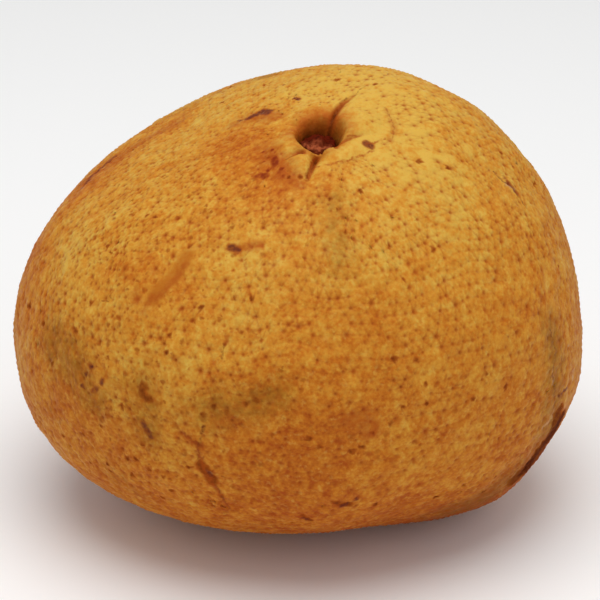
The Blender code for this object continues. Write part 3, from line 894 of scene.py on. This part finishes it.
# Specks: kind, mean radius in millimetres, and the pixel of each.
SPECKS = {
    "on the crown": (
        "brown", 0.45,
        ((284, 85), (222, 102), (375, 84), (390, 74), (328, 97), (264, 84), (297, 74)),
    ),
    "round the basin": (
        "brown", 0.45,
        ((289, 177), (300, 177), (330, 199), (337, 210), (360, 190), (346, 232)),
    ),
    "left of the basin": (
        "red", 0.45,
        ((262, 162), (270, 157), (281, 168), (268, 170), (256, 176), (284, 176), (272, 150), (262, 152),
         (278, 173)),
    ),
    "at the foot": ("dark", 0.5, ((336, 503), (341, 506), (346, 505), (303, 518), (307, 520), (356, 500))),
    "on the upper right": (
        "brown", 0.42,
        ((424, 112), (449, 168), (420, 161), (503, 153), (514, 168), (436, 212)),
    ),
    "on the right": (
        "brown", 0.45,
        ((390, 244), (434, 249), (404, 281), (509, 272), (558, 266), (536, 183)),
    ),
    "low on the right": (
        "brown", 0.5,
        ((404, 408), (427, 404), (425, 384), (458, 384), (416, 359), (395, 359), (486, 374), (473, 399),
         (506, 386), (391, 423), (353, 452), (495, 477), (371, 432), (357, 504), (374, 505), (484, 492),
         (309, 438), (320, 448)),
    ),
    "left edge": ("brown", 0.5, ((43, 324), (61, 326), (76, 332), (53, 364), (28, 306), (18, 222))),
    "left cluster": (
        "dark", 0.55,
        ((91, 367), (85, 375), (103, 380), (94, 391), (83, 386), (101, 384), (97, 388)),
    ),
    "flecks on the right edge": (
        "pale", 0.3,
        ((557, 352), (566, 358), (569, 345), (560, 366), (553, 372), (571, 364), (552, 398), (549, 420),
         (541, 431)),
    ),
    "low left": (
        "brown", 0.5,
        ((121, 406), (70, 406), (93, 413), (107, 415), (102, 427), (62, 434), (84, 435), (142, 444),
         (89, 462), (108, 464), (111, 471), (127, 459), (136, 460), (149, 470), (132, 475), (163, 477),
         (170, 491), (163, 497)),
    ),
    "low middle": (
        "brown", 0.55,
        ((213, 407), (203, 413), (244, 406), (257, 401), (279, 395), (226, 413), (187, 379), (188, 467),
         (311, 521)),
    ),
    "left middle": (
        "brown", 0.4,
        ((224, 344), (169, 335), (166, 353), (183, 347), (189, 332), (241, 332), (201, 306), (236, 298),
         (252, 298), (221, 285), (189, 247), (147, 217), (155, 217), (137, 238), (108, 246), (90, 304),
         (117, 325)),
    ),
}

# Thin lines: kind, half width in millimetres, strength, and pixels along them.
LINES = {
    # The crease lines darken the creases' valleys: partly stain, partly painted shade.
    "front crease": ("red", 0.68, 0.95, ((315, 158), (311, 165), (309, 172), (307, 180))),
    "left front crease": ("brown", 0.36, 0.8, ((312, 155), (304, 154), (296, 155), (285, 160))),
    "right crease": ("rust", 0.4, 0.8, ((338, 138), (348, 136), (360, 136))),
    "line from the oval": ("rust", 0.4, 0.8, ((367, 144), (376, 142), (385, 139))),
    "crack": (
        "brown", 0.52, 1.0,
        ((184, 434), (191, 441), (197, 446), (199, 453), (198, 460), (203, 468), (210, 478), (215, 485),
         (222, 496), (230, 509)),
    ),
    "stain of the crack": (
        "rust", 0.95, 0.8,
        ((184, 434), (192, 442), (199, 448), (199, 458), (206, 472), (216, 487), (230, 509)),
    ),
    "branch of the crack": ("brown", 0.5, 0.9, ((204, 426), (201, 436), (198, 446))),
    "streak left of the basin": ("dark", 0.7, 0.9, ((239, 121), (250, 118), (262, 111), (272, 110))),
    "long crease's end": ("brown", 0.4, 0.75, ((340, 103), (348, 98), (356, 94), (364, 87))),
    "line below the front lip": (
        "rust", 0.5, 0.9,
        ((314, 168), (330, 165), (348, 161), (364, 155), (374, 150)),
    ),
    "line round the right lip": ("red", 0.26, 0.6, ((383, 107), (391, 118), (395, 128), (392, 138))),
    "grey scar on the right": (
        "dark", 0.38, 0.75,
        ((494, 173), (502, 178), (512, 187), (519, 195), (526, 207)),
    ),
    "tick on the left": ("brown", 0.28, 0.8, ((101, 301), (111, 300), (111, 294))),
    "upright mark": ("brown", 0.35, 0.7, ((224, 343), (222, 350), (222, 358))),
    "line along the right edge": ("brown", 0.4, 0.7, ((551, 330), (555, 350), (553, 372), (555, 400))),
    "second line there": ("brown", 0.35, 0.6, ((561, 345), (560, 362), (563, 380))),
}

# Blemishes where the photograph doesn't reach: kind, how many, reach in millimetres and the longest run.
UNSEEN = {
    "specks": ("brown", 150, (0.4, 0.6), 0.3),
    "dead specks": ("dark", 26, (0.45, 0.9), 0.6),
    "rust stains": ("rust", 12, (1.8, 3.6), 9),
    "olive smudges": ("olive", 8, (3.5, 6.0), 12),
    "scabs": ("pale", 8, (0.3, 0.5), 2.5),
}
# The cracks there: how many, half width and longest run in millimetres, and strength.
UNSEEN_CRACKS = (4, 0.4, 11, 0.8)
# How a speck's radius varies, the specks' strength, and the range of the unseen blemishes' strength.
SPECK_SIZES, SPECK_STRENGTH = (0.85, 1.25), 0.9
UNSEEN_STRENGTHS = (0.6, 0.95)
UNSEEN_SEED = 12
# The fruit's mean radius, by which a length on its skin becomes an angle.
MEAN_RADIUS = 53 * MM
# Kinds of marks that start from nothing, without a broad field.
MARK_KINDS = ("rust", "brown", "red", "dark", "hollow", "pale", "smooth")


def in_picture(points):
    """Pixel places of points in the photograph's frame, in perspective from the camera."""
    rel = points - CAMERA_PLACE
    depth = -(rel @ TOWARDS_CAMERA)
    scale = PICTURE_SIDE * LENS / SENSOR / depth
    middle = PICTURE_SIDE / 2
    return np.stack([middle + rel @ SEEN_RIGHT * scale, middle - rel @ SEEN_UP * scale], axis=1)


def seen_at(pixels, points, pictured):
    """Points of the skin that the camera sees at some pixels.

    Each is between the three vertices nearest to it in the picture, and the nearer count for more."""
    front = np.flatnonzero((points - CORE) @ TOWARDS_CAMERA > 0)
    gaps = np.linalg.norm(pictured[front][None, :, :] - np.array(pixels, float)[:, None, :], axis=2)
    near = np.argpartition(gaps, 3, axis=1)[:, :3]
    weights = 1 / (np.take_along_axis(gaps, near, axis=1) + 0.1)
    weights /= weights.sum(axis=1, keepdims=True)
    return (points[front[near]] * weights[:, :, None]).sum(axis=1)


def gap_to(points, line):
    """Distance of every point from a bent line in space, or from its only point."""
    nearest = np.linalg.norm(points - line[0], axis=1)
    for start, end in zip(line[:-1], line[1:]):
        run = end - start
        t = np.clip((points - start) @ run / max(run @ run, 1e-12), 0, 1)
        nearest = np.minimum(nearest, np.linalg.norm(points - start - t[:, None] * run, axis=1))
    return nearest


def unseen_line(rng, points, longest):
    """A short line of three points on the skin, unseen by the photograph's camera and not under the foot."""
    while True:
        way = unit(rng.normal(size=3))
        if way @ TOWARDS_CAMERA < -0.05 and way[2] > -0.8:
            break
    turn = unit(np.cross(way, rng.normal(size=3)))
    steps = np.array([-0.5, 0, 0.5])[:, None] * rng.uniform(0.2, 1) * longest * MM / MEAN_RADIUS
    ways = unit(way + steps * turn + np.abs(steps) * rng.uniform(-0.4, 0.4) * np.cross(way, turn))
    return points[np.argmax(unit(points - CORE) @ ways.T, axis=0)]


def marks_on(points, pictured, rng):
    """All soft marks, each with its kind, reach, strength and line in space."""
    marks = [
        (kind, reach, strength, seen_at(pixels, points, pictured))
        for kind, reach, strength, pixels in STROKES.values()
    ]
    for kind, radius, pixels in SPECKS.values():
        for place in seen_at(pixels, points, pictured):
            marks.append((kind, radius * rng.uniform(*SPECK_SIZES), SPECK_STRENGTH, place[None, :]))
    for kind, count, (least, most), longest in UNSEEN.values():
        for _ in range(count):
            reach = rng.uniform(least, most)
            strength = rng.uniform(*UNSEEN_STRENGTHS)
            marks.append((kind, reach, strength, unseen_line(rng, points, longest)))
    return marks


def drift(directions, body, length, seed):
    """A broad, soft field from 0 to 1 that changes over about a length."""
    lengths = [share * length for share in DRIFT_LENGTHS]
    return 0.5 + 0.5 * np.clip(waves(directions, body, DRIFT_WAVES, lengths, DRIFT_HEIGHT, seed), -1, 1)


def broad_fields(points, directions, body):
    """Fields that change slowly, by kind.

    Orange deepens downwards and drifts. The basin's wall is stained in streaks, most of all behind. Freckles
    and olive smudges drift, and there are fewer of these where the photograph shows the skin."""
    # Down to the foot the orange deepens: deeper skin, and painted shade of the underside.
    down = np.sqrt(np.clip(1 - points[:, 2] / CROWN_LEVEL, 0, 1))
    orange = ORANGE_CROWN + ORANGE_AND_SHADE_TO_FOOT * down + ORANGE_DRIFT * (drift(directions, body, *ORANGE_WAVES) - 0.5)
    places = around_stem(directions, stem_radius(body))
    turn = np.arctan2(places[:, 1], places[:, 0])
    back = (0.5 + 0.5 * np.sin(turn - WALL_TURN)) ** WALL_POWER
    wall = 1 - smooth_step(np.linalg.norm(places, axis=1), WALL_FOOT, WALL_TOP + WALL_TOP_AT_BACK * back)
    streaks = STREAK_MIDDLE + STREAK_SWING * wrinkles(turn)
    stained = WALL_STAIN_IN_FRONT + (1 - WALL_STAIN_IN_FRONT) * back
    fields = {"orange": orange + ORANGE_WALL * wall * back, "wall": WALL_STAIN * wall * streaks * stained}
    seen = smooth_step(unit(points - CORE) @ TOWARDS_CAMERA, -0.1, 0.15)
    for kind, (length, seed, low, high, strength, taken) in DRIFTS.items():
        drifting = smooth_step(drift(directions, body, length, seed), low, high)
        fields[kind] = strength * drifting * (1 - taken * seen)
    return fields


def colour_fields(points, directions, body):
    """Fields for the material, by kind, and the thin lines on the skin.

    A patch adds a bell across its line to its broad field. Where marks of a kind meet, the stronger holds."""
    pictured = in_picture(points)
    rng = np.random.default_rng(UNSEEN_SEED)
    fields = {kind: np.zeros(len(points)) for kind in MARK_KINDS}
    fields.update(broad_fields(points, directions, body))
    for kind, reach, strength, pixels in PATCHES.values():
        gap = gap_to(points, seen_at(pixels, points, pictured)) / (reach * MM)
        fields[kind] += strength * np.exp(-(gap**2))
    for kind, reach, strength, line in marks_on(points, pictured, rng):
        gap = gap_to(points, line) / (reach * MM)
        fall = CRISP_FALL if kind in CRISP_KINDS and reach > CRISP_REACH else 2
        fields[kind] = np.maximum(fields[kind], strength * np.exp(-(gap**fall)))
    lines = [
        (kind, half_width * MM, strength, seen_at(pixels, points, pictured))
        for kind, half_width, strength, pixels in LINES.values()
    ]
    count, half_width, longest, strength = UNSEEN_CRACKS
    for _ in range(count):
        lines.append(("brown", half_width * MM, strength, unseen_line(rng, points, longest)))
    return fields, lines


class TANGELO_OT_add_rind(bpy.types.Operator):
    """Builds the whole fruit in its rind"""

    bl_idname = "tangelo.add_rind"
    bl_label = "Add Fruit"

    def execute(self, context):
        body, stem = context.scene.tangelo_body, context.scene.tangelo_stem
        directions, faces, pore_count, owners = pored_ball(body)
        directions, along, across = draw_to_stem(directions)
        directions, depth, pore = pore_relief(directions, along, across, pore_count, owners, body)
        radius, fold, inside, places = skin(directions, body, stem)
        heights = directions[:, 2] * radius + CORE[2]
        bare = smooth_step(np.linalg.norm(places, axis=1), *BARE_LIP) * smooth_step(heights, *BARE_FOOT)
        fields, lines = colour_fields(directions * radius[:, None] + CORE, directions, body)
        bare *= 1 - smooth_step(fields["smooth"], *BARE_SCAR)
        points = directions * (radius - depth * bare)[:, None] + CORE
        points[:, 2] = np.maximum(points[:, 2], 0)
        material = rind_material(context.scene.tangelo_rind, lines)
        piece = add_piece("fruit_skin", points, faces, "fruit", material)
        fields.update(pore=pore * bare, fold=fold, basin=inside)
        for kind, values in fields.items():
            set_mask(piece, kind, values)
        return {"FINISHED"}


def button_points(stem, body):
    """The button on a grid of rings and turns, in its place and also laid flat.

    It is a blunt disc: its radius, less cosines for its lobes and nicks, times a power of a sine from pole to
    pole, and half its thickness times a power of a cosine. A bell raises its top to a stub, a dish sinks the
    middle, bent sines groove its rim and seeded waves roughen it."""
    t = np.linspace(0, 1, BUTTON_RINGS)[1:-1, None]
    turn = np.linspace(0, 2 * math.pi, BUTTON_SIDES, endpoint=False)[None, :]
    lobes = LOBE_DEPTH * (1 + np.cos(LOBES * turn)) + NICK_DEPTH * np.cos(NICKS * turn + 1)
    radius = stem.radius * (1 - lobes) * np.sin(math.pi * t) ** 0.7
    slope = np.cos(math.pi * t)
    half = stem.thickness / 2
    height = half * np.sign(slope) * np.abs(slope) ** 0.55 * np.ones_like(turn)
    share = radius / stem.radius
    stub = STUB_HEIGHT * np.exp(-((share / STUB_RADIUS) ** 4))
    dish = DISH_DEPTH * (1 - smooth_step(share, DISH_START, 1))
    grooves = GROOVE_DEPTH * np.sin(GROOVES * turn + 3 * np.sin(2 * turn)) * smooth_step(share, 0.2, 0.6)
    top = slope > 0
    height += np.where(top, stub - dish + grooves, 0)
    grid = np.stack([radius * np.cos(turn), radius * np.sin(turn), height], axis=2).reshape(-1, 3)
    rough = waves(grid / body.half_depth, body, *BUTTON_WAVES)
    grid[:, 2] += np.where(np.broadcast_to(top, radius.shape).ravel(), rough, 0)
    poles = np.array([[0, 0, half + STUB_HEIGHT - DISH_DEPTH], [0, 0, -half]])
    flat = np.concatenate([grid, poles])
    basin_floor = STEM * (stem_radius(body) - body.basin_depth)
    middle = CORE + basin_floor + STEM_AXIS * (stem.seat_gap + half - stem.seat_depth)
    return flat @ np.stack([AXIS_RIGHT, AXIS_BACK, STEM_AXIS]) + middle, flat


def grid_faces(rings, sides):
    """Triangles of a closed grid of rings with a pole at each end, the poles being the last two points."""
    ring, side = np.meshgrid(np.arange(rings - 1), np.arange(sides), indexing="ij")
    after = (side + 1) % sides
    a, b = ring * sides + side, ring * sides + after
    c, d = a + sides, b + sides
    body = np.concatenate([np.stack([a, c, d], -1).reshape(-1, 3), np.stack([a, d, b], -1).reshape(-1, 3)])
    first = np.arange(sides)
    second = (first + 1) % sides
    last = (rings - 1) * sides
    top_pole = np.full(sides, rings * sides)
    top = np.stack([top_pole, first, second], axis=1)
    bottom = np.stack([top_pole + 1, last + second, last + first], axis=1)
    return np.concatenate([body, top, bottom])


class TANGELO_OT_add_button(bpy.types.Operator):
    """Builds the dry button in its basin"""

    bl_idname = "tangelo.add_button"
    bl_label = "Add Stem Button"

    def execute(self, context):
        stem = context.scene.tangelo_stem
        points, flat = button_points(stem, context.scene.tangelo_body)
        faces = grid_faces(BUTTON_RINGS - 2, BUTTON_SIDES)
        piece = add_piece("dry_button", points, faces, "stem_button", button_material(stem))
        set_mask(piece, "fibre", smooth_step(-flat[:, 1] - 0.3 * flat[:, 0], *LIT_FIBRE_EDGE))
        return {"FINISHED"}


def add_light(name, azimuth, elevation, distance, size, power):
    """A soft lamp that looks at the fruit."""
    lamp = bpy.data.lights.new(name, "AREA")
    lamp.shape = "DISK"
    lamp.size = size
    lamp.energy = power
    light = bpy.data.objects.new(name, lamp)
    bpy.context.scene.collection.objects.link(light)
    away = Vector(aim(azimuth, elevation))
    light.location = Vector(CORE) + away * distance
    light.rotation_euler = away.to_track_quat("Z", "Y").to_euler()


class TANGELO_OT_set_stage(bpy.types.Operator):
    """Lays the floor and sets the lamps and the camera"""

    bl_idname = "tangelo.set_stage"
    bl_label = "Set Stage"

    def execute(self, context):
        stage = context.scene.tangelo_stage
        bpy.ops.mesh.primitive_plane_add(size=FLOOR_SIDE)
        floor = context.active_object
        floor.name = "floor"
        material, _, shader = new_material("floor", FLOOR_FINISH)
        shader["Base Color"].default_value = (*stage.floor_colour, 1)
        floor.data.materials.append(material)
        for name, setting in LAMPS.items():
            add_light(name, *setting, getattr(stage, name + "_power"))
        world = bpy.data.worlds.new("studio")
        world.use_nodes = True
        sky = world.node_tree.nodes["Background"].inputs
        sky["Strength"].default_value = stage.sky_strength
        sky["Color"].default_value = (1, 1, 1, 1)
        context.scene.world = world
        context.scene.view_settings.view_transform = "Standard"
        lens = bpy.data.cameras.new("camera")
        lens.lens = LENS
        lens.sensor_width = SENSOR
        camera = bpy.data.objects.new("camera", lens)
        context.scene.collection.objects.link(camera)
        camera.location = Vector(CAMERA_PLACE)
        camera.rotation_euler = Vector(TOWARDS_CAMERA).to_track_quat("Z", "Y").to_euler()
        context.scene.camera = camera
        return {"FINISHED"}


class TANGELO_PT_panel(bpy.types.Panel):
    """Lists the fruit's pieces and the stage"""

    bl_label = "Jamaican Tangelo"
    bl_idname = "TANGELO_PT_panel"
    bl_space_type = "VIEW_3D"
    bl_region_type = "UI"
    bl_category = "Tangelo"

    def draw(self, context):
        for operator, groups in OPERATORS.items():
            box = self.layout.box()
            box.operator(operator)
            for group in groups:
                for name in SETTINGS[group].__annotations__:
                    box.prop(getattr(context.scene, group), name)


SETTINGS = {
    "tangelo_body": TangeloBody,
    "tangelo_rind": TangeloRind,
    "tangelo_stem": TangeloStem,
    "tangelo_stage": TangeloStage,
}
OPERATORS = {
    "tangelo.add_rind": ("tangelo_body", "tangelo_rind"),
    "tangelo.add_button": ("tangelo_stem",),
    "tangelo.set_stage": ("tangelo_stage",),
}
CLASSES = (
    *SETTINGS.values(),
    TANGELO_OT_add_rind,
    TANGELO_OT_add_button,
    TANGELO_OT_set_stage,
    TANGELO_PT_panel,
)


def register():
    for cls in CLASSES:
        bpy.utils.register_class(cls)
    for name, cls in SETTINGS.items():
        setattr(bpy.types.Scene, name, bpy.props.PointerProperty(type=cls))


def unregister():
    for name in SETTINGS:
        delattr(bpy.types.Scene, name)
    for cls in reversed(CLASSES):
        bpy.utils.unregister_class(cls)


def main():
    register()
    bpy.ops.tangelo.add_rind()
    bpy.ops.tangelo.add_button()
    bpy.ops.tangelo.set_stage()


if __name__ == "__main__":
    main()
